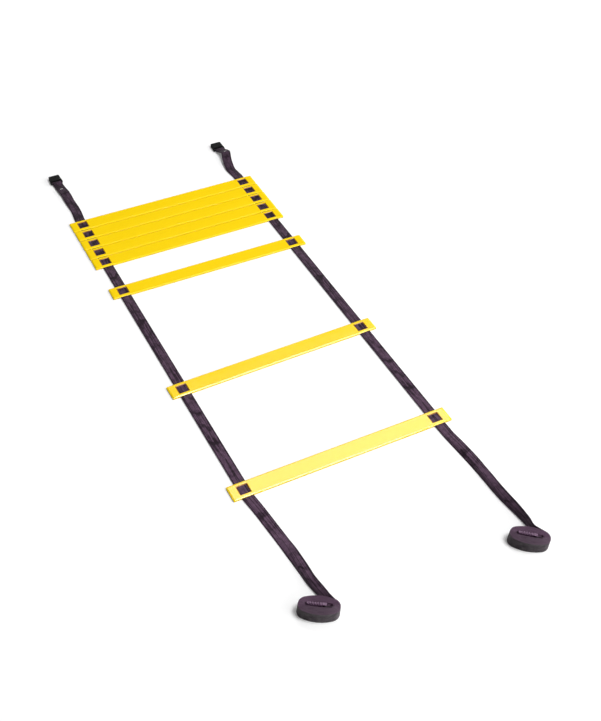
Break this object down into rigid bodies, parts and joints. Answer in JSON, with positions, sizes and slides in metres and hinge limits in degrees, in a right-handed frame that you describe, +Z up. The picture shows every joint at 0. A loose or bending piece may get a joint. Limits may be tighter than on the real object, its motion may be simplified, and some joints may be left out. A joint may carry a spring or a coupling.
{
  "type": "agility ladder",
  "caption": "Flat agility ladder: thin plastic rungs slide on two webbing straps with a buckle socket at one end and a wound roll with a buckle plug in its core at the other.",
  "frame": {"origin": "centre of the bounding box, on the ground under the straps and rungs", "axes": "+Y runs along the straps to the end with the pushed-together rungs and the sockets, +X runs along the rungs to the right strap, +Z is up from the ground"},
  "size_m": [0.5064, 1.6009, 0.0293],
  "materials": {
    "rung_plastic": "smooth moulded plastic with a soft gloss",
    "webbing": "woven polypropylene webbing, dark plum black, slightly shiny yarns",
    "buckle_plastic": "moulded acetal, satin black",
    "thread": "close zigzag of pale polyester thread"
  },
  "bodies": {
    "straps": {"strap_end_left": "webbing", "strap_run_left": "webbing", "strap_lead_left": "webbing", "strap_end_right": "webbing", "strap_run_right": "webbing", "strap_lead_right": "webbing", "strap_roll_left": "webbing", "strap_roll_right": "webbing", "plug_left": "buckle_plastic", "plug_right": "buckle_plastic", "bartack_left": "thread", "bartack_right": "thread"},
    "rung_1": {"rung_1": "rung_plastic"},
    "rung_2": {"rung_2": "rung_plastic"},
    "rung_3": {"rung_3": "rung_plastic"},
    "rung_4": {"rung_4": "rung_plastic"},
    "rung_5": {"rung_5": "rung_plastic"},
    "rung_6": {"rung_6": "rung_plastic"},
    "rung_7": {"rung_7": "rung_plastic"},
    "rung_8": {"rung_8": "rung_plastic"},
    "socket_left": {"socket_left": "buckle_plastic"},
    "socket_right": {"socket_right": "buckle_plastic"}
  },
  "joints": [
    {"name": "rung_1_slide", "type": "slide", "parent": "straps", "child": "rung_1", "axis": [0, 1, 0], "range_m": [0, 0.01]},
    {"name": "rung_2_slide", "type": "slide", "parent": "straps", "child": "rung_2", "axis": [0, 1, 0], "range_m": [-0.08, 0]},
    {"name": "rung_3_slide", "type": "slide", "parent": "rung_2", "child": "rung_3", "axis": [0, 1, 0], "range_m": [-0.08, 0]},
    {"name": "rung_4_slide", "type": "slide", "parent": "rung_3", "child": "rung_4", "axis": [0, 1, 0], "range_m": [-0.08, 0]},
    {"name": "rung_5_slide", "type": "slide", "parent": "rung_4", "child": "rung_5", "axis": [0, 1, 0], "range_m": [-0.08, 0]},
    {"name": "rung_6_slide", "type": "slide", "parent": "straps", "child": "rung_6", "axis": [0, 1, 0], "range_m": [-0.31, 0.08]},
    {"name": "rung_7_slide", "type": "slide", "parent": "straps", "child": "rung_7", "axis": [0, 1, 0], "range_m": [-0.27, 0.31]},
    {"name": "rung_8_slide", "type": "slide", "parent": "straps", "child": "rung_8", "axis": [0, 1, 0], "range_m": [0, 0.27]},
    {"name": "socket_left_pivot", "type": "hinge", "parent": "straps", "child": "socket_left", "pos_m": [-0.22075, 0.7738, 0.0039], "axis": [1, 0, 0], "range_deg": [0, 75]},
    {"name": "socket_right_pivot", "type": "hinge", "parent": "straps", "child": "socket_right", "pos_m": [0.22935, 0.7298, 0.0039], "axis": [1, 0, 0], "range_deg": [0, 75]}
  ]
}
